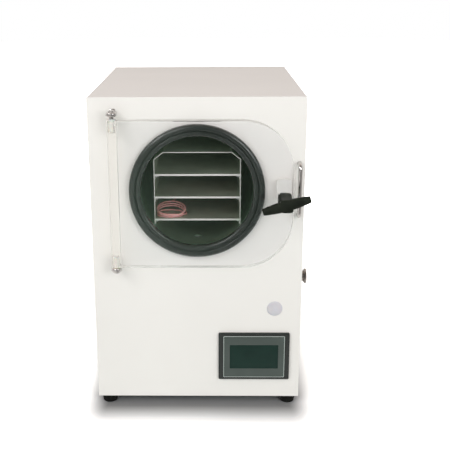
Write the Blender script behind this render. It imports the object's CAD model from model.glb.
"""Finishes, small fittings, lights and camera for a bench-top freeze dryer.

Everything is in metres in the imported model's own frame: +Z up, the front faces -Y, and the origin is on the
floor under the middle of the cabinet. Sizes given in millimetres are multiplied by MM.
"""

import math

import bmesh
import bpy
from mathutils import Matrix, Quaternion, Vector


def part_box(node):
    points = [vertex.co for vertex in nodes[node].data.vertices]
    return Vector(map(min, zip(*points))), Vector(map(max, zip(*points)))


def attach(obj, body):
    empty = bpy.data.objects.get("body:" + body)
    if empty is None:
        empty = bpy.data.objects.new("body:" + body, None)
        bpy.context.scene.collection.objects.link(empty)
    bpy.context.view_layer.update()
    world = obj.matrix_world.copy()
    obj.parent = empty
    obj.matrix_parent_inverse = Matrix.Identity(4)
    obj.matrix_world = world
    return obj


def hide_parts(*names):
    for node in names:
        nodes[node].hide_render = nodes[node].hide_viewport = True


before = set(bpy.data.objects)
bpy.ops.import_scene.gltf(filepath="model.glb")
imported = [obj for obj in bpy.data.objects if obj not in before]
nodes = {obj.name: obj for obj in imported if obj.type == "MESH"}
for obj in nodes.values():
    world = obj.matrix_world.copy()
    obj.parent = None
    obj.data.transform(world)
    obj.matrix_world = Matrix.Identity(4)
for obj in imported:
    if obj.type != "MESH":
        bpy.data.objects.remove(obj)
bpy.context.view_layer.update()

MM = 0.001
scene = bpy.context.scene
scene.view_settings.view_transform = "Standard"


# ---- camera ----

def look(yaw, pitch, roll):
    """Turn of a camera that looks along +Y when yaw and pitch are 0. Degrees."""
    yaw, pitch, roll = (math.radians(a) for a in (yaw, pitch, roll))
    ahead = Vector((math.sin(yaw) * math.cos(pitch), math.cos(yaw) * math.cos(pitch), -math.sin(pitch)))
    return Quaternion(ahead, -roll) @ ahead.to_track_quat("-Z", "Y")


camera = bpy.data.objects.new("camera", bpy.data.cameras.new("camera"))
camera.location = (0.0255, -1.75, 0.835)
camera.rotation_mode = "QUATERNION"
camera.rotation_quaternion = look(-1.138, 16.967, -0.391)
camera.data.lens = 66.8
camera.data.shift_x = 0.0667
scene.collection.objects.link(camera)
scene.camera = camera


# ---- mesh helpers ----

def corners(node):
    """The lowest and the highest corner of a CAD node's box."""
    low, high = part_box(node)
    return Vector(low), Vector(high)


def centre(node):
    low, high = corners(node)
    return (low + high) / 2


def mesh_object(name, bm, smooth=True):
    """Turns a bmesh into an object at the origin, with its faces outwards."""
    bmesh.ops.remove_doubles(bm, verts=bm.verts, dist=1e-7)
    bmesh.ops.recalc_face_normals(bm, faces=bm.faces)
    for face in bm.faces:
        face.smooth = smooth
    mesh = bpy.data.meshes.new(name)
    bm.to_mesh(mesh)
    bm.free()
    made = bpy.data.objects.new(name, mesh)
    scene.collection.objects.link(made)
    return made


def dress(piece, material, body, slot, *replaced):
    """Gives a piece its finish, the body that it rides on, its slot and the nodes that it stands for."""
    if material.name not in piece.data.materials:
        piece.data.materials.append(material)
    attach(piece, body)
    if replaced:
        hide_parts(*replaced)
    return piece


def lathe(bm, profile, place, steps=96, closed=False):
    """Turns a profile of (radius, height) points about a line. place takes the line's own axes to the
    model's: its Z is the line. An open profile runs from the axis to the axis, a closed one is a ring's
    section."""
    rings = []
    for radius, height in profile:
        if radius < 1e-9:
            rings.append([bm.verts.new(place @ Vector((0, 0, height)))])
        else:
            rings.append([bm.verts.new(place @ Vector((radius * math.cos(a), radius * math.sin(a), height)))
                          for a in (2 * math.pi * k / steps for k in range(steps))])
    pairs = list(zip(rings, rings[1:])) + ([(rings[-1], rings[0])] if closed else [])
    for first, second in pairs:
        for k in range(steps):
            around = ((first, k), (first, k + 1), (second, k + 1), (second, k))
            unique = list(dict.fromkeys(ring[i % len(ring)] for ring, i in around))
            if len(unique) > 2:
                bm.faces.new(unique)


def round_corner(middle, radius, start, end, steps=5):
    """Points of an arc in a profile, from one angle to another, in degrees."""
    return [(middle[0] + radius * math.cos(math.radians(start + (end - start) * k / steps)),
             middle[1] + radius * math.sin(math.radians(start + (end - start) * k / steps)))
            for k in range(steps + 1)]


def axis_place(point, direction):
    """A frame whose Z runs along a direction from a point."""
    return Matrix.Translation(point) @ Vector(direction).to_track_quat("Z", "Y").to_matrix().to_4x4()


def loft(bm, rings):
    """Skins rings of equal length and closes both ends."""
    made = [[bm.verts.new(p) for p in ring] for ring in rings]
    count = len(made[0])
    for first, second in zip(made, made[1:]):
        for k in range(count):
            bm.faces.new((first[k], first[(k + 1) % count], second[(k + 1) % count], second[k]))
    bm.faces.new(made[0][::-1])
    bm.faces.new(made[-1])


def bake(piece):
    """Turns an object's modifiers into its own mesh, without the double faces that a boolean may leave."""
    mesh = bpy.data.meshes.new_from_object(piece.evaluated_get(bpy.context.evaluated_depsgraph_get()))
    mesh.validate()
    piece.modifiers.clear()
    piece.data = mesh
    return piece


def combine(piece, other, operation):
    """Joins a second closed shape to a piece, or cuts it out, and uses it up."""
    modifier = piece.modifiers.new("combine", "BOOLEAN")
    modifier.operation = operation
    modifier.solver = "EXACT"
    modifier.object = other
    bake(piece)
    bpy.data.objects.remove(other)
    return piece


def crease(piece, degrees=35):
    """Shades a piece smooth, with its sharper edges left sharp."""
    piece.data.polygons.foreach_set("use_smooth", [True] * len(piece.data.polygons))
    piece.data.set_sharp_from_angle(angle=math.radians(degrees))
    return piece


def turned(name, profile, place, steps=96, closed=False):
    """A lathed piece from a profile in millimetres."""
    bm = bmesh.new()
    lathe(bm, [(radius * MM, height * MM) for radius, height in profile], place, steps, closed)
    return mesh_object(name, bm)


# ---- materials ----

def linear(hex_colour):
    """An sRGB colour written #RRGGBB as linear RGBA."""
    parts = [int(hex_colour[i:i + 2], 16) / 255 for i in (1, 3, 5)]
    return tuple(c / 12.92 if c <= 0.04045 else ((c + 0.055) / 1.055) ** 2.4 for c in parts) + (1.0,)


def add_node(tree, kind, inputs=None, **settings):
    """Adds a node. Each input is given a value, or is joined to another node's output."""
    made = tree.nodes.new(kind)
    for name, value in settings.items():
        setattr(made, name, value)
    for socket, value in (inputs or {}).items():
        if isinstance(value, bpy.types.NodeSocket):
            tree.links.new(value, made.inputs[socket])
        else:
            made.inputs[socket].default_value = value
    return made


def blank_material(name):
    """A material with an empty node tree."""
    material = bpy.data.materials.new(name)
    material.use_nodes = True
    material.node_tree.nodes.clear()
    return material, material.node_tree


def finish(name, colours, roughness, grain, bump, wander=0.12, stretch=(1, 1, 1), edge=0.0, cut=None,
           more=None):
    """A solid finish. colours are two close ones that drift over wander metres; roughness drifts between
    two values over the grain; grain is the size of the surface's texture in metres, bump its height in
    metres, and stretch draws the grain out along an axis. edge is the radius that softens the sharp edges
    of folded or moulded parts. cut is the colour of sheared edges that face along Y. more sets the shader's
    other sockets."""
    material, tree = blank_material(name)
    coordinates = add_node(tree, "ShaderNodeTexCoord").outputs
    place = coordinates["Object"]
    drift = add_node(tree, "ShaderNodeTexNoise", {"Vector": place, "Scale": 1 / wander, "Detail": 3.0})
    blend = add_node(tree, "ShaderNodeMapRange", {"Value": drift.outputs["Fac"], "From Min": 0.35,
                                                  "From Max": 0.65})
    colour = add_node(tree, "ShaderNodeMix", {"Factor": blend.outputs["Result"], "A": linear(colours[0]),
                                              "B": linear(colours[1])}, data_type="RGBA")
    if cut:
        facing = add_node(tree, "ShaderNodeSeparateXYZ", {"Vector": coordinates["Normal"]})
        along = add_node(tree, "ShaderNodeMath", {0: facing.outputs["Y"]}, operation="ABSOLUTE")
        share = add_node(tree, "ShaderNodeMapRange", {"Value": along.outputs["Value"], "From Min": 0.7,
                                                      "From Max": 0.9})
        colour = add_node(tree, "ShaderNodeMix", {"Factor": share.outputs["Result"], "B": linear(cut),
                                                  "A": colour.outputs["Result"]}, data_type="RGBA")
    drawn = add_node(tree, "ShaderNodeMapping", {"Vector": place, "Scale": stretch})
    texture = add_node(tree, "ShaderNodeTexNoise", {"Vector": drawn.outputs["Vector"], "Scale": 1 / grain,
                                                    "Detail": 2.0})
    rough = add_node(tree, "ShaderNodeMapRange", {
        "Value": texture.outputs["Fac"], "From Min": 0.3, "From Max": 0.7, "To Min": roughness[0],
        "To Max": roughness[1]})
    normal = {}
    if edge:
        normal = {"Normal": add_node(tree, "ShaderNodeBevel", {"Radius": edge}, samples=4).outputs["Normal"]}
    relief = add_node(tree, "ShaderNodeBump", {"Height": texture.outputs["Fac"], "Distance": bump,
                                               "Strength": 1.0, **normal})
    shader = add_node(tree, "ShaderNodeBsdfPrincipled", {"Base Color": colour.outputs["Result"],
                                                         "Roughness": rough.outputs["Result"],
                                                         "Normal": relief.outputs["Normal"], **(more or {})})
    add_node(tree, "ShaderNodeOutputMaterial", {"Surface": shader.outputs["BSDF"]})
    return material


METAL = {"Metallic": 1.0}

# Satin powder coat baked on sheet steel: warm white, with a low orange peel about 2.5 mm across.
powder_coat = finish("powder_coat_warm_white", ("#F3F0EC", "#F0EDE9"), (0.38, 0.46), 2.5 * MM, 0.012 * MM,
                     wander=0.25, edge=1.2 * MM)
# Hot-dip galvanised steel: dull grey with soft patches of spangle about 9 mm across.
galvanised = finish("galvanised_sheet", ("#AEB2B3", "#9BA0A2"), (0.38, 0.55), 9 * MM, 0.006 * MM,
                    wander=0.012, more=METAL)
# Rolled 304 stainless, worn dull inside the chamber: faintly green, as it shows behind the thick door, with
# scratches that run round it. The real lines are 0.05 mm wide and are drawn 0.8 mm wide so that they show.
chamber_steel = finish("rolled_stainless_dull", ("#B7D2BA", "#A7C2AA"), (0.44, 0.58), 0.8 * MM, 0.004 * MM,
                       wander=0.06, stretch=(0.05, 1, 0.05), more=METAL)
# Brushed stainless tube: pale and soft, with a grain drawn 0.6 mm wide.
brushed_steel = finish("brushed_stainless_tube", ("#B4BAB2", "#A8AEA6"), (0.42, 0.55), 0.6 * MM, 0.004 * MM,
                       wander=0.05, stretch=(1, 0.04, 1), edge=0.4 * MM, more=METAL)
# Bead-blasted stainless sheet of the rack: even and matt. Its faces have dulled, and its sheared edges stay
# bright and show as pale lines. The blasting is drawn 0.8 mm coarse.
blasted_steel = finish("bead_blasted_stainless", ("#C2C9B9", "#B6BDAD"), (0.62, 0.74), 0.8 * MM, 0.006 * MM,
                       wander=0.05, edge=0.3 * MM, cut="#FFFFFC", more=METAL)
# Bright zinc plate on the rack's small screws and nuts: near white, with a faint blue cast.
bright_zinc = finish("bright_zinc_plate", ("#F3F5F7", "#E8EBEE"), (0.34, 0.46), 1 * MM, 0.004 * MM,
                     wander=0.01, more=METAL)
# Zinc-flake coating on the pawl: pale silver grey and matt, more paint than metal, with a grain drawn
# 0.5 mm coarse.
zinc_flake = finish("zinc_flake_coating", ("#F4F2EF", "#EEECE8"), (0.50, 0.60), 0.5 * MM, 0.006 * MM,
                    wander=0.02, edge=0.4 * MM, more={"Metallic": 0.28})
# Electropolished stainless: bright, with faint ripples left by forging about 4 mm across.
polished_steel = finish("electropolished_stainless", ("#D6D4D2", "#CAC8C6"), (0.13, 0.24), 4 * MM, 0.02 * MM,
                        wander=0.02, edge=0.5 * MM, more=METAL)
# Turned stainless of the port, darkened by handling, with fine rings drawn 0.7 mm apart.
turned_steel = finish("turned_stainless_dark", ("#B0ACA8", "#A09C98"), (0.08, 0.15), 0.7 * MM, 0.004 * MM,
                      wander=0.02, stretch=(1, 0.1, 0.1), edge=0.4 * MM, more=METAL)
# Moulded silicone rubber, wiped clean: charcoal with a soft gloss and a skin drawn 0.9 mm coarse.
gasket_rubber = finish("moulded_silicone_charcoal", ("#1E2422", "#262C29"), (0.2, 0.28), 0.9 * MM, 0.006 * MM,
                       wander=0.04, more={"Specular IOR Level": 0.8})
# Black natural rubber: matt, with scuffs about 3 mm across.
foot_rubber = finish("natural_rubber_black", ("#080906", "#0F100C"), (0.6, 0.8), 3 * MM, 0.05 * MM,
                     wander=0.01, edge=0.5 * MM, more={"Specular IOR Level": 0.15})
# Poured polyurethane foam: pale buff with cells about 1.5 mm across.
foam = finish("poured_urethane_foam", ("#D8CBA0", "#C9BA8C"), (0.8, 0.95), 1.5 * MM, 0.3 * MM, wander=0.03)
# Drawn copper tube: bright orange-brown, tarnished in patches.
copper = finish("drawn_copper_tube", ("#C98A66", "#A8684A"), (0.25, 0.45), 5 * MM, 0.01 * MM, wander=0.03,
                more=METAL)
# Glass-filled nylon: near black with a fine spark-eroded grain drawn 0.7 mm coarse.
handle_nylon = finish("glass_filled_nylon_black", ("#191D17", "#242921"), (0.42, 0.56), 0.7 * MM, 0.03 * MM,
                      wander=0.02, more={"Specular IOR Level": 0.1})
# Moulded ABS: dark slate with a fine matt grain.
bezel_abs = finish("abs_moulding_slate", ("#232826", "#292F2D"), (0.42, 0.52), 0.6 * MM, 0.01 * MM,
                   wander=0.05, edge=0.5 * MM)
# Back-printed polyester film: grey green and satin.
overlay_film = finish("polyester_overlay_grey", ("#434D49", "#4A5450"), (0.32, 0.38), 1.2 * MM, 0.003 * MM,
                      wander=0.06)
# The pale printed line round the overlay.
overlay_line = finish("printed_line_pale", ("#C6D1CC", "#CED8D3"), (0.4, 0.5), 1.2 * MM, 0.002 * MM,
                      wander=0.02)
# Liquid-crystal panel behind a hard-coated glass: deep green when it is dark.
display_glass = finish("unlit_display_glass", ("#0E2A24", "#122F28"), (0.14, 0.20), 3 * MM, 0.001 * MM,
                       wander=0.05, more={"Specular IOR Level": 0.25})
# Low-density polyethylene cap: pale lilac grey and waxy.
plug_plastic = finish("polyethylene_cap_pale", ("#D2CFD5", "#CCC9CF"), (0.38, 0.48), 2 * MM, 0.01 * MM,
                      wander=0.015, more={"Subsurface Weight": 0.15, "Subsurface Scale": 0.002})
# Acetal bushes: milky white and slippery.
acetal = finish("acetal_bush_white", ("#E6E5E0", "#DDDCD6"), (0.28, 0.36), 1.5 * MM, 0.004 * MM, wander=0.01,
                more={"Subsurface Weight": 0.2, "Subsurface Scale": 0.0015})
# Silicone-covered probe lead: salmon pink, soft and a little dusty.
lead_silicone = finish("silicone_lead_salmon", ("#E2AAA7", "#D59A97"), (0.42, 0.55), 1.2 * MM, 0.02 * MM,
                       wander=0.02, more={"Subsurface Weight": 0.2, "Subsurface Scale": 0.001})
# Silicone rubber heater on glass cloth: brick red, with the cloth's threads drawn 1 mm apart.
heater_silicone = finish("heater_silicone_brick", ("#9A4529", "#86391F"), (0.55, 0.7), 1 * MM, 0.08 * MM,
                         wander=0.04)
# Stoved black enamel on the pump's pressing: glossy, with long ripples.
black_enamel = finish("stoved_enamel_black", ("#17181A", "#1E1F21"), (0.2, 0.3), 6 * MM, 0.05 * MM,
                      wander=0.05, more={"Coat Weight": 0.4, "Coat Roughness": 0.1})
# Filled polyester mouldings of the fan and the mains inlet: black with a satin grain.
black_moulding = finish("polyester_moulding_black", ("#222423", "#292B2A"), (0.4, 0.55), 0.8 * MM, 0.02 * MM,
                        wander=0.03, edge=0.4 * MM)
# Rolled aluminium fins: pale, with a faint mill grain.
fin_aluminium = finish("rolled_aluminium_fins", ("#C4C7C9", "#AFB3B6"), (0.3, 0.45), 1.5 * MM, 0.01 * MM,
                       wander=0.04, more=METAL)
# Glass-epoxy board under green solder mask.
board_laminate = finish("solder_mask_green", ("#1C5A36", "#17492C"), (0.3, 0.42), 1 * MM, 0.02 * MM,
                        wander=0.02)
# Forged and tumbled brass: dull yellow.
valve_brass = finish("tumbled_brass", ("#C6AC72", "#B0965C"), (0.28, 0.42), 1.5 * MM, 0.02 * MM, wander=0.02,
                     edge=0.4 * MM, more=METAL)
# Dipped vinyl on the lever: blue, thick and smooth.
lever_vinyl = finish("dipped_vinyl_blue", ("#2F5C9A", "#284F88"), (0.3, 0.4), 4 * MM, 0.05 * MM, wander=0.02,
                     edge=0.8 * MM)


ACRYLIC_IOR = 1.49
FLAMED_EDGE_ROUGHNESS = 0.35


def clear_plastic(name, colour, smear, milk, edge_milk):
    """Cast acrylic: soft ripples from casting about 60 mm across, and faint smears 30 mm across. smear is
    its roughness where it is clean and where it is smeared. milk is the share of light that its faces
    scatter, and edge_milk the share at its sawn and flamed edges, which stay a little frosted. Lamps and
    bounced light pass straight through, so that what is behind stays as bright as it is."""
    material, tree = blank_material(name)
    place = add_node(tree, "ShaderNodeTexCoord")
    ripple = add_node(tree, "ShaderNodeTexNoise", {"Vector": place.outputs["Object"], "Scale": 1 / 0.06,
                                                   "Detail": 1.0})
    film = add_node(tree, "ShaderNodeTexNoise", {"Vector": place.outputs["Object"], "Scale": 1 / 0.03,
                                                 "Detail": 4.0})
    facing = add_node(tree, "ShaderNodeSeparateXYZ", {"Vector": place.outputs["Normal"]})
    flat = add_node(tree, "ShaderNodeMath", {0: facing.outputs["Y"]}, operation="ABSOLUTE")
    edge = add_node(tree, "ShaderNodeMapRange", {
        "Value": flat.outputs["Value"], "From Min": 0.5, "From Max": 0.8, "To Min": 1.0, "To Max": 0.0})
    clean = add_node(tree, "ShaderNodeMapRange", {
        "Value": film.outputs["Fac"], "From Min": 0.4, "From Max": 0.7, "To Min": smear[0],
        "To Max": smear[1]})
    rough = add_node(tree, "ShaderNodeMix", {"Factor": edge.outputs["Result"], "A": clean.outputs["Result"],
                                             "B": FLAMED_EDGE_ROUGHNESS}, data_type="FLOAT")
    softened = add_node(tree, "ShaderNodeBevel", {"Radius": 0.8 * MM}, samples=4)
    relief = add_node(tree, "ShaderNodeBump", {"Height": ripple.outputs["Fac"], "Distance": 0.02 * MM,
                                               "Strength": 1.0, "Normal": softened.outputs["Normal"]})
    glass = add_node(tree, "ShaderNodeBsdfPrincipled", {
        "Base Color": linear(colour), "Roughness": rough.outputs["Result"],
        "Normal": relief.outputs["Normal"], "Transmission Weight": 1.0, "IOR": ACRYLIC_IOR,
        "Specular Tint": linear("#C4EAD2")})
    cloudy = add_node(tree, "ShaderNodeBsdfDiffuse", {"Color": linear("#F4F3EE")})
    share = add_node(tree, "ShaderNodeMapRange", {"Value": edge.outputs["Result"], "To Min": milk,
                                                  "To Max": edge_milk})
    body = add_node(tree, "ShaderNodeMixShader", {0: share.outputs["Result"], 1: glass.outputs["BSDF"],
                                                  2: cloudy.outputs["BSDF"]})
    clear = add_node(tree, "ShaderNodeBsdfTransparent", {"Color": linear(colour)})
    path = add_node(tree, "ShaderNodeLightPath")
    soft = add_node(tree, "ShaderNodeMath", {
        0: path.outputs["Is Shadow Ray"], 1: path.outputs["Is Diffuse Ray"]}, operation="MAXIMUM")
    mirrored = add_node(tree, "ShaderNodeMath", {
        0: path.outputs["Is Glossy Ray"], 1: path.outputs["Is Transmission Ray"]}, operation="SUBTRACT")
    passed = add_node(tree, "ShaderNodeMath", {0: soft.outputs["Value"], 1: mirrored.outputs["Value"]},
                      operation="MAXIMUM")
    mixed = add_node(tree, "ShaderNodeMixShader", {0: passed.outputs["Value"], 1: body.outputs["Shader"],
                                                   2: clear.outputs["BSDF"]})
    add_node(tree, "ShaderNodeOutputMaterial", {"Surface": mixed.outputs["Shader"]})
    return material


# Door plate: cast acrylic 20 mm thick, colourless, with sawn and flamed edges.
acrylic = clear_plastic("cast_acrylic_clear", "#FBFCFC", (0.0, 0.03), 0.0, 0.45)
# Hinge bar: the same acrylic with milled faces, so that the pins and bushes inside show dimly.
milled_acrylic = clear_plastic("cast_acrylic_milled", "#FDFCFA", (0.10, 0.18), 0.12, 0.12)

for material, names in {
    powder_coat: "wrap_cover side_vents front_panel back_panel",
    galvanised: "base_pan mid_deck drum_saddles",
    chamber_steel: "chamber_drum",
    brushed_steel: "vacuum_line drain_line",
    blasted_steel: "rack_frame shelf_lower shelf_middle shelf_upper",
    bright_zinc: "rack_screws rack_nuts",
    zinc_flake: "latch_pawl",
    polished_steel: "cover_screws foot_screws lead_gland probe_tip hinge_eye_upper hinge_eye_lower "
                    "hinge_pins hinge_nuts strike_bar strike_nuts latch_shaft latch_nut",
    turned_steel: "vacuum_port",
    gasket_rubber: "door_gasket",
    foot_rubber: "foot_front_left foot_front_right foot_rear_left foot_rear_right compressor_grommets",
    foam: "chamber_insulation",
    copper: "evaporator_coil filter_drier refrigerant_lines",
    handle_nylon: "tee_handle",
    bezel_abs: "display_bezel",
    display_glass: "display_screen",
    plug_plastic: "hole_plug",
    acetal: "hinge_bushes latch_bush",
    milled_acrylic: "hinge_stile",
    lead_silicone: "probe_lead probe_coil",
    heater_silicone: "heater_mats",
    black_enamel: "compressor",
    black_moulding: "power_inlet power_rocker fan_housing fan_rotor",
    fin_aluminium: "condenser",
    board_laminate: "control_board",
    valve_brass: "drain_valve",
    lever_vinyl: "drain_lever",
    acrylic: "door_plate",
}.items():
    for name in names.split():
        slots = nodes[name].data.materials
        for i in range(len(slots)):
            slots[i] = material


# ---- probe lead ----

LEAD_RADIUS = 1.4 * MM
COIL_TURNS = 4.5
POINTS_PER_TURN = 20
coil = centre("probe_coil")
coil.z = corners("shelf_lower")[1].z
gland = centre("lead_gland")
gland.y = corners("lead_gland")[0].y

# From the gland to the coil: sideways from the coil's middle, share of the way back to the gland, height.
lead_marks = [(11.5, 1, 12.5), (10.5, 0.948, 10.5), (6.5, 0.891, 5), (1.5, 0.835, 2.1), (-0.5, 0.76, 1.7),
              (5.5, 0.648, 1.7), (9.5, 0.536, 1.7), (3.5, 0.404, 1.7), (-10.5, 0.273, 1.7), (-22, 0.169, 1.7),
              (-26.6, 0.094, 1.7), (-27, 0.054, 1.7)]
# The coil: turns made so far, radius, and height in front and behind. It starts at the left side, runs
# round by the front, lies flat for a turn, then its rear climbs and leans up while its front stays two
# strands high, and it comes down outside.
coil_marks = [(0, 27, 1.7, 1.7), (0.75, 24.4, 1.7, 1.7), (1, 24.1, 1.7, 5), (1.25, 23.9, 1.7, 8),
              (1.75, 24.6, 2, 10.4), (2.25, 25.4, 4.3, 12.5), (2.75, 25.4, 4.4, 14.4), (3.25, 28.3, 4.2, 17),
              (3.75, 27.2, 5, 18.5), (4, 26.6, 6, 19), (4.25, 26.9, 6.9, 13), (COIL_TURNS, 29.4, 2.2, 2.2)]


def between(marks, t):
    """Values at t between marks that are sorted by their first number, eased in and out."""
    for low, high in zip(marks, marks[1:]):
        if t <= high[0]:
            share = (t - low[0]) / (high[0] - low[0])
            share = share * share * (3 - 2 * share)
            return [a + (b - a) * share for a, b in zip(low[1:], high[1:])]
    return marks[-1][1:]


lead_points = [Vector((coil.x + dx * MM, coil.y + share * (gland.y - coil.y), coil.z + dz * MM))
               for dx, share, dz in lead_marks]
lead_points[0] = gland.copy()
for step in range(1, int(COIL_TURNS * POINTS_PER_TURN) + 1):
    turns = step / POINTS_PER_TURN
    radius, front_z, rear_z = between(coil_marks, turns)
    angle = math.pi + 2 * math.pi * turns
    height = (front_z + rear_z) / 2 + (rear_z - front_z) / 2 * math.sin(angle)
    lead_points.append(coil + Vector((radius * math.cos(angle), radius * math.sin(angle), height)) * MM)
# Off the coil's right side and into the sensor's sleeve.
tip = centre("probe_tip")
tip_start = corners("probe_tip")[0].y
lead_points += [Vector((coil.x + 28.2 * MM, coil.y + 8 * MM, coil.z + 2.1 * MM)),
                Vector((tip.x + 0.3 * MM, tip_start - 2 * MM, tip.z)),
                Vector((tip.x, tip_start + 2 * MM, tip.z))]

lead_curve = bpy.data.curves.new("probe_cord", "CURVE")
lead_curve.dimensions = "3D"
lead_curve.bevel_depth = LEAD_RADIUS
lead_curve.bevel_resolution = 4
lead_curve.resolution_u = 5
lead_curve.use_fill_caps = True
spline = lead_curve.splines.new("BEZIER")
spline.bezier_points.add(len(lead_points) - 1)
for knot, point in zip(spline.bezier_points, lead_points):
    knot.co = point
    knot.handle_left_type = knot.handle_right_type = "AUTO"
probe_cord = bpy.data.objects.new("probe_cord", lead_curve)
scene.collection.objects.link(probe_cord)
dress(probe_cord, lead_silicone, "cabinet", "lead_silicone", "probe_lead", "probe_coil")


# ---- geometry node trees ----

def grown(name, points, material, sizes, build):
    """Runs a Geometry Nodes tree on loose points and keeps the plain mesh. points are pairs of a place and
    a facing, sizes are the tree's named inputs in metres, and build adds its nodes and gives the last
    geometry."""
    mesh = bpy.data.meshes.new(name)
    mesh.from_pydata([tuple(place) for place, _ in points], [], [])
    facing = mesh.attributes.new("facing", "FLOAT_VECTOR", "POINT")
    facing.data.foreach_set("vector", [number for _, way in points for number in way])
    piece = bpy.data.objects.new(name, mesh)
    scene.collection.objects.link(piece)
    tree = bpy.data.node_groups.new(name, "GeometryNodeTree")
    tree.interface.new_socket("Geometry", in_out="INPUT", socket_type="NodeSocketGeometry")
    for label, size in sizes.items():
        kind = "NodeSocketFloat" if isinstance(size, (int, float)) else "NodeSocketVector"
        tree.interface.new_socket(label, in_out="INPUT", socket_type=kind)
    tree.interface.new_socket("Geometry", in_out="OUTPUT", socket_type="NodeSocketGeometry")
    real = add_node(tree, "GeometryNodeRealizeInstances", {
        "Geometry": build(tree, add_node(tree, "NodeGroupInput").outputs)})
    finished = add_node(tree, "GeometryNodeSetMaterial", {"Geometry": real.outputs["Geometry"],
                                                          "Material": material})
    add_node(tree, "NodeGroupOutput", {"Geometry": finished.outputs["Geometry"]})
    modifier = piece.modifiers.new(name, "NODES")
    modifier.node_group = tree
    for item in tree.interface.items_tree:
        if item.in_out == "INPUT" and item.name in sizes:
            modifier[item.identifier] = sizes[item.name]
    return bake(piece)


def set_on_points(tree, given, part, largest_turn=0.0):
    """One copy of a part on each point, its Z along the point's facing, turned about it by a random angle."""
    way = add_node(tree, "GeometryNodeInputNamedAttribute", {"Name": "facing"}, data_type="FLOAT_VECTOR")
    aimed = add_node(tree, "FunctionNodeAlignRotationToVector", {"Vector": way.outputs["Attribute"]},
                     axis="Z")
    placed = add_node(tree, "GeometryNodeInstanceOnPoints", {
        "Points": given["Geometry"], "Instance": part, "Rotation": aimed.outputs["Rotation"]})
    angle = add_node(tree, "FunctionNodeRandomValue", {"Max": largest_turn, "Seed": 7}, data_type="FLOAT")
    about = add_node(tree, "ShaderNodeCombineXYZ", {"Z": angle.outputs["Value"]})
    turn = add_node(tree, "FunctionNodeEulerToRotation", {"Euler": about.outputs["Vector"]})
    return add_node(tree, "GeometryNodeRotateInstances", {
        "Instances": placed.outputs["Instances"], "Rotation": turn.outputs["Rotation"]}).outputs["Instances"]


def nut_tree(tree, given):
    """A hexagon cut back by a cone at each end, with a plain bore."""
    hexagon = add_node(tree, "GeometryNodeMeshCylinder", {
        "Vertices": 6, "Radius": given["Corner radius"], "Depth": given["Height"]})
    solid = add_node(tree, "GeometryNodeMeshBoolean", {"Mesh 2": hexagon.outputs["Mesh"]},
                     operation="INTERSECT", solver="EXACT")
    for top, bottom in (("Cone tip radius", "Cone foot radius"), ("Cone foot radius", "Cone tip radius")):
        cone = add_node(tree, "GeometryNodeMeshCone", {
            "Vertices": 48, "Radius Top": given[top], "Radius Bottom": given[bottom],
            "Depth": given["Cone height"]})
        sunk = add_node(tree, "GeometryNodeTransform", {
            "Geometry": cone.outputs["Mesh"], "Translation": given["Cone place"]})
        tree.links.new(sunk.outputs["Geometry"], solid.inputs["Mesh 2"])
    drill = add_node(tree, "GeometryNodeMeshCylinder", {
        "Vertices": 32, "Radius": given["Bore radius"], "Depth": given["Bore depth"]})
    bored = add_node(tree, "GeometryNodeMeshBoolean", {
        "Mesh 1": solid.outputs["Mesh"], "Mesh 2": drill.outputs["Mesh"]},
        operation="DIFFERENCE", solver="EXACT")
    return set_on_points(tree, given, bored.outputs["Mesh"])


def screw_tree(tree, given):
    """A pan head rounded by a ball, with a cross recess and a plain shank, each turned at random."""
    ball = add_node(tree, "GeometryNodeMeshUVSphere", {
        "Segments": 48, "Rings": 48, "Radius": given["Ball radius"]})
    dome = add_node(tree, "GeometryNodeTransform", {
        "Geometry": ball.outputs["Mesh"], "Translation": given["Ball place"]})
    barrel = add_node(tree, "GeometryNodeMeshCylinder", {
        "Vertices": 48, "Radius": given["Head radius"], "Depth": given["Head height"]})
    raised = add_node(tree, "GeometryNodeTransform", {
        "Geometry": barrel.outputs["Mesh"], "Translation": given["Head place"]})
    head = add_node(tree, "GeometryNodeMeshBoolean", {"Mesh 2": dome.outputs["Geometry"]},
                    operation="INTERSECT", solver="EXACT")
    tree.links.new(raised.outputs["Geometry"], head.inputs["Mesh 2"])
    recess = add_node(tree, "GeometryNodeMeshBoolean", {"Mesh 1": head.outputs["Mesh"]},
                      operation="DIFFERENCE", solver="EXACT")
    for label in ("Slot across", "Slot along"):
        slot = add_node(tree, "GeometryNodeMeshCube", {"Size": given[label]})
        sunk = add_node(tree, "GeometryNodeTransform", {
            "Geometry": slot.outputs["Mesh"], "Translation": given["Slot place"]})
        tree.links.new(sunk.outputs["Geometry"], recess.inputs["Mesh 2"])
    rod = add_node(tree, "GeometryNodeMeshCylinder", {
        "Vertices": 24, "Radius": given["Shank radius"], "Depth": given["Shank length"]})
    shank = add_node(tree, "GeometryNodeTransform", {
        "Geometry": rod.outputs["Mesh"], "Translation": given["Shank place"]})
    whole = add_node(tree, "GeometryNodeMeshBoolean", {"Mesh 2": recess.outputs["Mesh"]}, operation="UNION",
                     solver="EXACT")
    tree.links.new(shank.outputs["Geometry"], whole.inputs["Mesh 2"])
    return set_on_points(tree, given, whole.outputs["Mesh"], largest_turn=math.pi)


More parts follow.
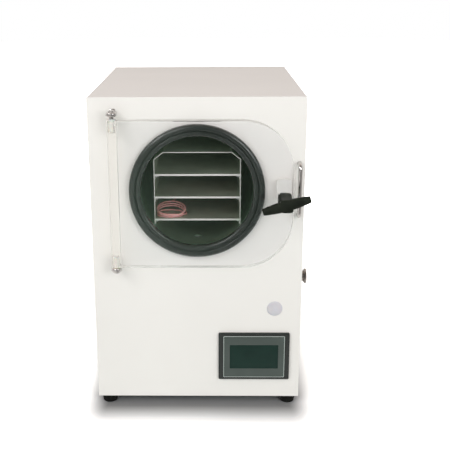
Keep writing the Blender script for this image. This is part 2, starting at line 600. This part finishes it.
def thread_tree(tree, given):
    """A rod whose skin rises and falls along a helix, one pitch to a turn."""
    rod = add_node(tree, "GeometryNodeMeshCylinder", {
        "Vertices": 40, "Side Segments": 150, "Radius": given["Root radius"], "Depth": given["Length"]})
    place = add_node(tree, "GeometryNodeInputPosition").outputs["Position"]
    split = add_node(tree, "ShaderNodeSeparateXYZ", {"Vector": place}).outputs
    around = add_node(tree, "ShaderNodeMath", {0: split["Y"], 1: split["X"]}, operation="ARCTAN2")
    share = add_node(tree, "ShaderNodeMath", {0: around.outputs["Value"], 1: 2 * math.pi}, operation="DIVIDE")
    pitches = add_node(tree, "ShaderNodeMath", {0: split["Z"], 1: given["Pitch"]}, operation="DIVIDE")
    phase = add_node(tree, "ShaderNodeMath", {0: pitches.outputs["Value"], 1: share.outputs["Value"]},
                     operation="SUBTRACT")
    ridge = add_node(tree, "ShaderNodeMath", {0: phase.outputs["Value"], 1: 0.5}, operation="PINGPONG")
    rise = add_node(tree, "ShaderNodeMath", {0: ridge.outputs["Value"], 1: given["Twice the depth"]},
                    operation="MULTIPLY")
    flat = add_node(tree, "ShaderNodeCombineXYZ", {"X": split["X"], "Y": split["Y"]})
    out = add_node(tree, "ShaderNodeVectorMath", {0: flat.outputs["Vector"]}, operation="NORMALIZE")
    shift = add_node(tree, "ShaderNodeVectorMath", {0: out.outputs["Vector"], "Scale": rise.outputs["Value"]},
                     operation="SCALE")
    threaded = add_node(tree, "GeometryNodeSetPosition", {
        "Geometry": rod.outputs["Mesh"], "Offset": shift.outputs["Vector"]})
    return set_on_points(tree, given, threaded.outputs["Geometry"])


# ---- door seal ----

seal_centre = centre("door_gasket")
seal_centre.y = corners("door_gasket")[1].y
# From the chamber's edge: the inner lip, the channel between the lips, the outer lip and the drum's groove.
seal_section = [
    (104, 1.4), *round_corner((107.9, 8.8), 3.9, 180, 90, 8), *round_corner((111.2, 11.0), 1.7, 90, 8, 6),
    *round_corner((114.05, 10.1), 1.0, 200, 340, 6), *round_corner((116.8, 12.2), 1.7, 172, 90, 6),
    (118.4, 13.9), *round_corner((120, 7.9), 6, 90, 0, 12), *round_corner((122.5, 3.5), 3.5, 0, -90, 6),
    (112.1, 0), (112.1, 9), (109.9, 9), (109.9, 1.4)]
seal = turned("door_seal", seal_section, axis_place(seal_centre, (0, -1, 0)), 192, closed=True)
dress(crease(seal, 50), gasket_rubber, "cabinet", "gasket_rubber", "door_gasket")

# ---- latch handle ----

# In millimetres: half of the bar's length, depth and heights at its ends and middle, and the rounding of its
# ends; then the hub's radii at the door and behind the bar, and its bore's radius. The bore starts BORE_END
# outside the hub and stops BORE_END short of the bar's middle.
BAR_HALF, BAR_DEEP, END_HIGH, MIDDLE_HIGH, END_ROUND = 44, 7.5, 5.75, 10, 1.4
HUB_SKIRT, HUB_WAIST, BORE_RADIUS, BORE_END = 12.5, 11.8, 5.05, 3
BAR_TILT = math.radians(16)
SQUARENESS = 4.5      # 2 is a circle, and a large number is a sharp square
bar_low, bar_high = corners("tee_handle")
bar_middle = (bar_low + bar_high) / 2
bar_middle.y = bar_low.y + BAR_DEEP * MM
bar_along = Vector((math.cos(BAR_TILT), 0, math.sin(BAR_TILT)))
bar_up = Vector((-math.sin(BAR_TILT), 0, math.cos(BAR_TILT)))


def bar_ring(along, shrink=0.0):
    """A section of the bar: a rounded block that is lower towards the ends."""
    swell = max(math.cos(along / BAR_HALF * math.pi / 2), 0) ** 0.9
    high = END_HIGH + (MIDDLE_HIGH - END_HIGH) * swell - shrink
    deep = min(high, BAR_DEEP - shrink)
    ring = []
    for k in range(48):
        c, s = math.cos(2 * math.pi * k / 48), math.sin(2 * math.pi * k / 48)
        y, z = deep * math.copysign(abs(c) ** 0.8, c), high * math.copysign(abs(s) ** 0.86, s)
        ring.append(bar_middle + (bar_along * along + Vector((0, y, 0)) + bar_up * z) * MM)
    return ring


bar_end = [(-BAR_HALF + END_ROUND * (1 - math.sin(a)), END_ROUND * (1 - math.cos(a)))
           for a in (math.pi / 2 * (1 - k / 5) for k in range(6))]
bar_straight = [((BAR_HALF - END_ROUND) * k / 20, 0) for k in range(-19, 20)]
other_end = [(-along, shrink) for along, shrink in bar_end[::-1]]
bar_bm = bmesh.new()
loft(bar_bm, [bar_ring(along, shrink) for along, shrink in bar_end + bar_straight + other_end])
handle = mesh_object("tee_handle_moulded", bar_bm)


def squared(piece):
    """Pushes the round sections of a piece turned about the bar's middle out towards upright squares."""
    for vertex in piece.data.vertices:
        out = vertex.co - bar_middle
        reach = math.hypot(out.x, out.z)
        if reach > 1e-9:
            spread = abs(out.x / reach) ** SQUARENESS + abs(out.z / reach) ** SQUARENESS
            grow = spread ** (-1 / SQUARENESS)
            vertex.co = bar_middle + Vector((out.x * grow, out.y, out.z * grow))
    return piece


# The hub, from the door's side to its cap in front of the bar, and the bore for the spindle.
hub_foot = Vector((bar_middle.x, bar_high.y, bar_middle.z))
hub_place = axis_place(hub_foot, (0, -1, 0))
hub_long = (bar_high.y - bar_middle.y) / MM
hub = turned("hub", [
    (0, 0), (11.4, 0), *round_corner((11.4, 1.1), 1.1, -90, 0), (HUB_SKIRT, 7.5), (12.2, 9.5),
    (HUB_WAIST, hub_long - 12), (HUB_WAIST, hub_long - 7), (HUB_WAIST, hub_long + 5.6),
    *round_corner((10.6, hub_long + 5.8), 1.2, 0, 90), (0, hub_long + 7)], hub_place, 96)
combine(handle, squared(hub), "UNION")
combine(handle, turned("bore", [
    (0, -BORE_END), (BORE_RADIUS, -BORE_END), (BORE_RADIUS, hub_long - BORE_END), (0, hub_long - BORE_END)],
    hub_place, 48), "DIFFERENCE")
dress(crease(handle, 40), handle_nylon, "latch", "handle_plastic", "tee_handle")

# The spindle, with a thrust plate between the hub and the door.
spindle_low, spindle_high = corners("latch_shaft")
spindle_long = (spindle_high.y - spindle_low.y) / MM
spindle = turned("latch_spindle", [
    (0, 0), (4.3, 0), (5, 0.7), (5, spindle_long - 0.7), (4.3, spindle_long), (0, spindle_long)],
    axis_place(Vector((bar_middle.x, spindle_low.y, bar_middle.z)), (0, 1, 0)), 64)
thrust = turned("thrust", [(0, 0.05), (12, 0.05), (12.6, 0.6), (12.6, 1.2), (12.2, 1.6), (0, 1.6)],
                axis_place(hub_foot, (0, 1, 0)), 96)
combine(spindle, squared(thrust), "UNION")
dress(crease(spindle, 30), polished_steel, "latch", "polished", "latch_shaft")

# ---- hinge eye bolts ----

EYE_RADIUS, THREAD_START = 10, 11.8    # outer radius, and start of the thread from the eye's middle, in mm
ring_section = [*round_corner((5.0, 3.05), 0.95, 180, 90), *round_corner((7.3, 1.3), 2.7, 90, 0, 8),
                *round_corner((7.3, -1.3), 2.7, 0, -90, 8), *round_corner((5.0, -3.05), 0.95, -90, -180)]
eye_middles = []
for level in ("upper", "lower"):
    eye_low, eye_high = corners("hinge_eye_" + level)
    middle = (eye_low + eye_high) / 2
    middle.y = eye_low.y + EYE_RADIUS * MM
    eye_middles.append(middle)
    shank_end = (eye_high.y - middle.y) / MM
    eye = turned("hinge_eye_bolt_" + level, ring_section, axis_place(middle, (0, 0, 1)), 96, closed=True)
    neck = turned("neck", [(0, 6.2), (3.2, 6.2), (4.0, 9), (3.8, 10.6), (3.6, 12.4), (0, 12.4)],
                  axis_place(middle, (0, 1, 0)), 48)
    combine(eye, neck, "UNION")
    thread = grown("thread", [(middle + Vector((0, (THREAD_START + shank_end) / 2 * MM, 0)), (0, 1, 0))],
                   polished_steel, {"Pitch": 1.25 * MM, "Root radius": 3.1 * MM, "Twice the depth": 1.2 * MM,
                                    "Length": (shank_end - THREAD_START) * MM}, thread_tree)
    combine(eye, thread, "UNION")
    dress(crease(eye, 30), polished_steel, "cabinet", "polished", "hinge_eye_" + level)

# ---- nuts and screws ----

EIGHT_MM, TEN_MM = (13, 4.05), (16, 5.05)    # a nut's width across flats and the radius of its bore, in mm
RIM_SHARE = 0.475     # radius of the chamfer's rim as a share of the width across flats
STRIKE_HALF_SPAN = 49 * MM
FRONT_NUT, REAR_NUT = 5.1 * MM, 5.9 * MM     # height of the eyes' nuts, and where the rear one starts
LOW_ROW, REAR_ROW = 31 * MM, 236.5 * MM      # height of the lower screws, and Y of the rear ones


def nuts(name, node, size, places, height, body):
    """Nuts along Y of one height. places are (x, start of the nut, z). The cones of the chamfers reach past
    the ends by half of the height, so that no two faces lie in one plane."""
    flats, bore = size
    rim = flats * RIM_SHARE * MM
    slope = math.sqrt(3)
    made = grown(name, [(Vector((x, start + height / 2, z)), (0, 1, 0)) for x, start, z in places],
                 polished_steel, {
        "Height": height, "Corner radius": flats * MM / slope, "Cone height": 2 * height,
        "Cone tip radius": rim - height / 2 * slope, "Cone foot radius": rim + height * 1.5 * slope,
        "Cone place": (0, 0, -height), "Bore radius": bore * MM, "Bore depth": height * 1.5}, nut_tree)
    dress(crease(made, 20), polished_steel, body, "polished", node)


nut_low, nut_high = corners("hinge_nuts")
nuts("hinge_nuts_chamfered", "hinge_nuts", EIGHT_MM,
     [(middle.x, start, middle.z) for middle in eye_middles for start in (nut_low.y, nut_high.y - REAR_NUT)],
     FRONT_NUT, "cabinet")
nut_low, nut_high = corners("latch_nut")
nut_middle = centre("latch_nut")
nuts("latch_nut_chamfered", "latch_nut", TEN_MM, [(nut_middle.x, nut_low.y, nut_middle.z)],
     nut_high.y - nut_low.y, "latch")
nut_low, nut_high = corners("strike_nuts")
nut_middle = centre("strike_nuts")
nuts("strike_nuts_chamfered", "strike_nuts", EIGHT_MM,
     [(nut_middle.x, nut_low.y, nut_middle.z + shift) for shift in (-STRIKE_HALF_SPAN, STRIKE_HALF_SPAN)],
     nut_high.y - nut_low.y, "cabinet")

side = corners("wrap_cover")[1].x
panel_low, panel_high = corners("front_panel")
screw_rows = [(y, LOW_ROW) for y in (-0.205, 0, 0.205)]
screw_rows += [(REAR_ROW, panel_low.z + share * (panel_high.z - panel_low.z)) for share in (0.18, 0.5, 0.85)]
cover_screws = grown(
    "cover_screws_pan_head", [((way * side, y, z), (way, 0, 0)) for way in (-1, 1) for y, z in screw_rows],
    polished_steel, {
        "Head radius": 4 * MM, "Head height": 2.2 * MM, "Head place": (0, 0, 1.1 * MM),
        "Ball radius": 5.4 * MM, "Ball place": (0, 0, -3.2 * MM),
        "Slot across": (4.4 * MM, 0.9 * MM, 2.4 * MM), "Slot along": (0.9 * MM, 4.4 * MM, 2.4 * MM),
        "Slot place": (0, 0, 2.2 * MM),
        "Shank radius": 1.95 * MM, "Shank length": 8 * MM, "Shank place": (0, 0, -3.8 * MM)}, screw_tree)
dress(crease(cover_screws, 30), polished_steel, "cabinet", "polished", "cover_screws")

# ---- mains inlet ----

# Three bright blades 4 mm high and 2 mm thick, set in the floor of the socket, with narrowed tips.
SOCKET_MIDDLE = 20    # height of the socket's middle above the inlet's lower edge, in mm
BLADE_SECTION = ((1, -0.7), (1, 0.7), (0.5, 1), (-0.5, 1), (-1, 0.7), (-1, -0.7), (-0.5, -1), (0.5, -1))
inlet_low, inlet_high = corners("power_inlet")
pins_bm = bmesh.new()
for x, z in ((-7, -2), (0, 2.2), (7, -2)):
    root = Vector((centre("power_inlet").x + x * MM, inlet_high.y, inlet_low.z + (SOCKET_MIDDLE + z) * MM))
    loft(pins_bm, [[root + Vector(((1 - narrow) * across, y, (2 - narrow) * up)) * MM
                    for across, up in BLADE_SECTION]
                   for y, narrow in ((-20.6, 0), (-6.5, 0), (-5.4, 0.25), (-5, 0.6))])
inlet_pins = mesh_object("inlet_pins", pins_bm)
dress(crease(inlet_pins, 30), polished_steel, "cabinet", "polished")

# ---- operator panel ----

panel = centre("display_bezel")
panel_face = corners("display_bezel")[0].y + 0.02 * MM


def panel_loop(width, height, corner):
    """Points of a rounded rectangle in the panel's face, about its middle, in millimetres."""
    loop = []
    for sx, sz, start in ((1, 1, 0), (-1, 1, 90), (-1, -1, 180), (1, -1, 270)):
        middle = (sx * (width / 2 - corner), sz * (height / 2 - corner))
        loop += round_corner(middle, corner, start, start + 90, 6)
    return [Vector((panel.x + x * MM, 0, panel.z + z * MM)) for x, z in loop]


def framed(name, outer, inner, height):
    """A flat frame between two loops, that stands out from the panel's face."""
    front = panel_face - height
    bm = bmesh.new()
    rings = [[bm.verts.new(p + Vector((0, y, 0))) for p in loop]
             for loop, y in ((outer, panel_face), (outer, front), (inner, front), (inner, panel_face))]
    for first, second in zip(rings, rings[1:] + rings[:1]):
        for k in range(len(first)):
            after = (k + 1) % len(first)
            bm.faces.new((first[k], first[after], second[after], second[k]))
    return crease(mesh_object(name, bm), 30)


# The moulded border, the pale line and the printed film with its window: width, height and corner of each
# one's outer and inner edge, and how far it stands out.
for name, material, outer, inner, height in (
        ("overlay_band", bezel_abs, (125.4, 89.4, 3.6), (119.2, 87.4, 1.4), 0.2 * MM),
        ("overlay_line", overlay_line, (119.6, 87.8, 1.6), (118.1, 86.3, 1.0), 0.35 * MM),
        ("overlay_film", overlay_film, (118.3, 86.5, 1.1), (95.0, 50.5, 1.0), 0.3 * MM)):
    layer = framed(name, panel_loop(*outer), panel_loop(*inner), height)
    dress(layer, material, "cabinet", "display_plastic")


# ---- floor, world and lamps ----

FLOOR_GAIN = 2.4      # the paper as the camera sees it, bright enough to reach white where nothing shades it
PAPER_TINT = (0.965, 0.985, 1.0)    # a little blue takes out the warmth of the light from above
FLOOR_RADIUS = 9.0
ROOM_LEVEL = 0.25     # the unlit half of the studio, on the camera's side, as gloss shows it
SIDE_LEVEL = 0.7      # the same towards the left, where a paler wall stands
WORLD_LIGHT = 0.5     # what matt surfaces take from the walls
WHITE = linear("#FFFFFF")


def paths(tree):
    """1 for rays that see the background as the camera does, and 1 for rays that come off a gloss."""
    path = add_node(tree, "ShaderNodeLightPath").outputs
    seen = add_node(tree, "ShaderNodeMath", {0: path["Is Camera Ray"], 1: path["Is Transmission Ray"]},
                    operation="MAXIMUM")
    mirrored = add_node(tree, "ShaderNodeMath", {0: path["Is Glossy Ray"], 1: path["Is Transmission Ray"]},
                        operation="SUBTRACT", use_clamp=True)
    return seen.outputs["Value"], mirrored.outputs["Value"]


def paper_floor():
    """Matt white paper floor. It keeps the object's shadow, and dulls in the corner under the object.
    Beyond the lamps' reach it glows up to the white of the background. Gloss sees it run out into the dim
    room in front."""
    material, tree = blank_material("paper_floor")
    seen, glossy = paths(tree)
    place = add_node(tree, "ShaderNodeTexCoord").outputs["Object"]
    at = add_node(tree, "ShaderNodeSeparateXYZ", {"Vector": place}).outputs
    # How far a place lies outside the object's foot. pace makes the shade clear sooner along X.
    beyond = []
    for axis, middle, half, pace in (("X", 0.0, 0.182, 1.75), ("Y", -0.012, 0.243, 1.0)):
        value = at[axis]
        for operation, number in (("SUBTRACT", middle), ("ABSOLUTE", 0.0), ("SUBTRACT", half),
                                  ("MULTIPLY", pace), ("MAXIMUM", 0.0)):
            value = add_node(tree, "ShaderNodeMath", {0: value, 1: number},
                             operation=operation).outputs["Value"]
        beyond.append(value)
    offset = add_node(tree, "ShaderNodeCombineXYZ", {"X": beyond[0], "Y": beyond[1]})
    clear_by = add_node(tree, "ShaderNodeVectorMath", {0: offset.outputs["Vector"]}, operation="LENGTH")
    corner = add_node(tree, "ShaderNodeMapRange", {
        "Value": clear_by.outputs["Value"], "From Min": -0.02, "From Max": 0.14, "To Min": 0.08,
        "To Max": 1.0}, interpolation_type="SMOOTHSTEP")
    shown = add_node(tree, "ShaderNodeMath", {0: corner.outputs["Result"], 1: FLOOR_GAIN},
                     operation="MULTIPLY")
    paper = add_node(tree, "ShaderNodeVectorMath", {0: PAPER_TINT, "Scale": shown.outputs["Value"]},
                     operation="SCALE")
    white = add_node(tree, "ShaderNodeMix", {
        "Factor": seen, "A": linear("#DCE8E8"), "B": paper.outputs["Vector"]}, data_type="RGBA")
    side = add_node(tree, "ShaderNodeMapRange", {"Value": at["X"], "From Min": -0.45, "From Max": 0.1,
                                                 "To Min": SIDE_LEVEL, "To Max": ROOM_LEVEL})
    room = add_node(tree, "ShaderNodeMapRange", {"Value": at["Y"], "From Min": -0.9, "From Max": -0.4,
                                                 "To Min": side.outputs["Result"], "To Max": 1.0})
    shade = add_node(tree, "ShaderNodeMix", {"Factor": glossy, "A": white.outputs["Result"],
                                             "B": room.outputs["Result"]}, data_type="RGBA")
    away = add_node(tree, "ShaderNodeVectorMath", {0: place}, operation="LENGTH")
    lift = add_node(tree, "ShaderNodeMapRange", {
        "Value": away.outputs["Value"], "From Min": 0.42, "From Max": 1.1, "To Min": 0.0, "To Max": 1.0},
        interpolation_type="SMOOTHSTEP")
    glow = add_node(tree, "ShaderNodeMath", {0: lift.outputs["Result"], 1: seen}, operation="MULTIPLY")
    matt = add_node(tree, "ShaderNodeBsdfDiffuse", {"Color": shade.outputs["Result"]})
    light = add_node(tree, "ShaderNodeEmission", {"Color": WHITE, "Strength": glow.outputs["Value"]})
    both = add_node(tree, "ShaderNodeAddShader", {0: matt.outputs["BSDF"], 1: light.outputs["Emission"]})
    add_node(tree, "ShaderNodeOutputMaterial", {"Surface": both.outputs["Shader"]})
    return material


floor_mesh = bmesh.new()
bmesh.ops.create_circle(floor_mesh, cap_ends=True, segments=64, radius=FLOOR_RADIUS)
floor = mesh_object("floor", floor_mesh, smooth=False)
if floor.data.polygons[0].normal.z < 0:
    floor.data.flip_normals()
floor.data.materials.append(paper_floor())

# White where the camera or clear plastic sees it. Gloss sees white walls that fall away to the dim half in
# front, and matt surfaces take a warm, even light from it.
world = bpy.data.worlds.new("studio")
scene.world = world
world.use_nodes = True
studio = world.node_tree
studio.nodes.clear()
seen, glossy = paths(studio)
direction = add_node(studio, "ShaderNodeTexCoord").outputs["Object"]
ahead = add_node(studio, "ShaderNodeSeparateXYZ", {"Vector": direction})
walls = add_node(studio, "ShaderNodeMapRange", {
    "Value": ahead.outputs["Y"], "From Min": -0.35, "From Max": 0.25, "To Min": ROOM_LEVEL, "To Max": 1.0})
level = add_node(studio, "ShaderNodeMix", {"Factor": glossy, "A": WORLD_LIGHT, "B": walls.outputs["Result"]},
                 data_type="FLOAT")
shown = add_node(studio, "ShaderNodeMix", {"Factor": seen, "A": level.outputs["Result"], "B": 1.0},
                 data_type="FLOAT")
warm = add_node(studio, "ShaderNodeMapRange", {"Value": ahead.outputs["Z"], "From Min": 0.2, "From Max": 0.9})
sky_tone = add_node(studio, "ShaderNodeMix", {"Factor": warm.outputs["Result"], "A": WHITE,
                                              "B": linear("#FFEFE5")}, data_type="RGBA")
tone = add_node(studio, "ShaderNodeMix", {"Factor": seen, "A": sky_tone.outputs["Result"], "B": WHITE},
                data_type="RGBA")
sky = add_node(studio, "ShaderNodeBackground", {"Color": tone.outputs["Result"],
                                                "Strength": shown.outputs["Result"]})
add_node(studio, "ShaderNodeOutputWorld", {"Surface": sky.outputs["Background"]})


def softbox(name, place, aim, size, power):
    """A square-cornered area lamp of a size in metres and a power in watts, turned towards a point."""
    lamp = bpy.data.lights.new(name, "AREA")
    lamp.shape = "RECTANGLE"
    lamp.size, lamp.size_y = size
    lamp.energy = power
    made = bpy.data.objects.new(name, lamp)
    made.location = place
    made.rotation_mode = "QUATERNION"
    made.rotation_quaternion = (Vector(aim) - Vector(place)).to_track_quat("-Z", "Y")
    scene.collection.objects.link(made)


# The accent lamp gives rubber and plating their glints. The rear lamp stays below the level of the top.
softbox("key_softbox", (-1.1, -2.4, 1.7), (0, 0, 0.45), (1.4, 1.4), 18.5)
softbox("accent_softbox", (-1.5, -1.45, 1.8), (0, -0.3, 0.4), (0.4, 0.4), 7)
softbox("fill_softbox", (1.5, -2.4, 1.2), (0, 0, 0.4), (1.4, 1.4), 23)
softbox("rear_softbox", (-0.5, 2.4, 0.31), (0, 0, 0.31), (1.6, 0.56), 12)
